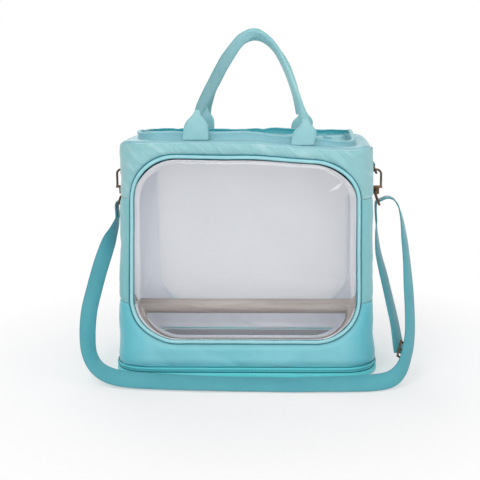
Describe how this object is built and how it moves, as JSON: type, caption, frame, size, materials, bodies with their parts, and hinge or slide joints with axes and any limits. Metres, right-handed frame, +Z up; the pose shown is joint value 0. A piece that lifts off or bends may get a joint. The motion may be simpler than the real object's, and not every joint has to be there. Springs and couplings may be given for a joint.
{
  "type": "bird travel carrier",
  "caption": "Soft fabric pet bird carrier with a clear front window, mesh vents, zipped top lid, two carry handles, wooden perch, waste tray and clip-on shoulder strap.",
  "frame": {"origin": "on the ground under the middle of the base", "axes": "+Z up, +X along the width to the right of someone who faces the window, the window faces -Y"},
  "size_m": [0.5033, 0.2725, 0.509],
  "materials": {
    "shell_fabric": "smooth coated fabric",
    "shell_fabric_pale": "smooth coated fabric",
    "base_fabric": "smooth coated fabric",
    "lid_fabric": "smooth coated fabric",
    "piping": "soft sheen",
    "vent_mesh": "fine mesh",
    "clear_window": "clear flexible sheet",
    "handle_webbing": "smooth webbing",
    "strap_webbing": "smooth webbing",
    "zip_nylon": "nylon coil",
    "hardware_bronze": "antique, dark",
    "screw_steel": "satin",
    "knob_plastic": "matte",
    "perch_wood": "bare, rounded",
    "tray_plastic": "matte",
    "bottom_board": "matte"
  },
  "bodies": {
    "bag": {"front_upper_yoke": "shell_fabric_pale", "front_lower_yoke": "shell_fabric", "front_strip_left": "shell_fabric", "front_strip_right": "shell_fabric", "side_panel_left": "shell_fabric", "side_panel_right": "shell_fabric", "side_mesh_left": "vent_mesh", "side_mesh_right": "vent_mesh", "back_panel": "shell_fabric", "back_mesh": "vent_mesh", "top_deck": "shell_fabric", "top_rim": "shell_fabric_pale", "window_piping": "piping", "front_window": "clear_window", "base_zip_band": "base_fabric", "base_tub": "base_fabric", "base_board": "bottom_board", "perch_dowel": "perch_wood", "perch_washers": "screw_steel", "zip_teeth_deck": "zip_nylon", "ring_tab_left": "strap_webbing", "ring_tab_right": "strap_webbing", "strap_ring_left": "hardware_bronze", "strap_ring_right": "hardware_bronze", "shoulder_strap": "strap_webbing", "sliding_buckle": "hardware_bronze"},
    "lid": {"top_lid": "lid_fabric", "zip_teeth_lid": "zip_nylon"},
    "lid_slider": {"top_zip_slider": "hardware_bronze"},
    "lid_pull": {"top_zip_pull": "hardware_bronze"},
    "base_slider": {"base_zip_slider": "hardware_bronze"},
    "base_pull": {"base_zip_pull": "hardware_bronze"},
    "front_grip": {"handle_front": "handle_webbing", "handle_front_feet": "handle_webbing"},
    "back_grip": {"handle_back": "handle_webbing", "handle_back_feet": "handle_webbing"},
    "tray": {"waste_tray": "tray_plastic"},
    "left_screw": {"perch_screw_left": "screw_steel"},
    "right_knob": {"perch_knob_right": "knob_plastic"},
    "left_d_ring": {"d_ring_left": "hardware_bronze"},
    "right_d_ring": {"d_ring_right": "hardware_bronze"},
    "left_hook": {"hook_left": "hardware_bronze", "gate_pin_left": "screw_steel"},
    "right_hook": {"hook_right": "hardware_bronze", "gate_pin_right": "screw_steel"},
    "left_gate": {"hook_gate_left": "hardware_bronze"},
    "right_gate": {"hook_gate_right": "hardware_bronze"}
  },
  "joints": [
    {"name": "lid_hinge", "type": "hinge", "parent": "bag", "child": "lid", "pos_m": [0, 0.0756, 0.352], "axis": [-1, 0, 0], "range_deg": [0, 70]},
    {"name": "lid_slider_slide", "type": "slide", "parent": "lid", "child": "lid_slider", "axis": [1, 0, 0], "range_m": [-0.225, 0]},
    {"name": "lid_pull_flip", "type": "hinge", "parent": "lid_slider", "child": "lid_pull", "pos_m": [0.115, -0.076, 0.3586], "axis": [0, 1, 0], "range_deg": [0, 150]},
    {"name": "base_slider_slide", "type": "slide", "parent": "bag", "child": "base_slider", "axis": [1, 0, 0], "range_m": [-0.11, 0.11]},
    {"name": "base_pull_flip", "type": "hinge", "parent": "base_slider", "child": "base_pull", "pos_m": [0, 0.1091, 0.013], "axis": [1, 0, 0], "range_deg": [0, 140]},
    {"name": "front_handle_fold", "type": "hinge", "parent": "bag", "child": "front_grip", "pos_m": [0, -0.1003, 0.3523], "axis": [1, 0, 0], "range_deg": [0, 150]},
    {"name": "back_handle_fold", "type": "hinge", "parent": "bag", "child": "back_grip", "pos_m": [0, 0.1003, 0.3523], "axis": [-1, 0, 0], "range_deg": [0, 150]},
    {"name": "tray_lift", "type": "slide", "parent": "bag", "child": "tray", "axis": [0, 0, 1], "range_m": [0, 0.045]},
    {"name": "left_screw_turn", "type": "hinge", "parent": "bag", "child": "left_screw", "pos_m": [-0.186, 0, 0.084], "axis": [-1, 0, 0], "continuous": true},
    {"name": "right_knob_turn", "type": "hinge", "parent": "bag", "child": "right_knob", "pos_m": [0.186, 0, 0.084], "axis": [1, 0, 0], "continuous": true},
    {"name": "left_d_ring_swing", "type": "hinge", "parent": "bag", "child": "left_d_ring", "pos_m": [-0.18955, 0, 0.309], "axis": [0, 1, 0], "range_deg": [-6, 10]},
    {"name": "right_d_ring_swing", "type": "hinge", "parent": "bag", "child": "right_d_ring", "pos_m": [0.18955, 0, 0.309], "axis": [0, -1, 0], "range_deg": [-6, 10]},
    {"name": "left_hook_swivel", "type": "hinge", "parent": "bag", "child": "left_hook", "pos_m": [-0.19589, 0, 0.27], "axis": [0, 0, 1], "range_deg": [-10, 10]},
    {"name": "right_hook_swivel", "type": "hinge", "parent": "bag", "child": "right_hook", "pos_m": [0.19589, 0, 0.27], "axis": [0, 0, 1], "range_deg": [-10, 10]},
    {"name": "left_gate_open", "type": "hinge", "parent": "left_hook", "child": "left_gate", "pos_m": [-0.18839, 0, 0.278], "axis": [0, -1, 0], "range_deg": [0, 25], "stiffness_Nm_per_rad": 0.005, "springref_deg": -28.65},
    {"name": "right_gate_open", "type": "hinge", "parent": "right_hook", "child": "right_gate", "pos_m": [0.18839, 0, 0.278], "axis": [0, 1, 0], "range_deg": [0, 25], "stiffness_Nm_per_rad": 0.005, "springref_deg": -28.65}
  ]
}
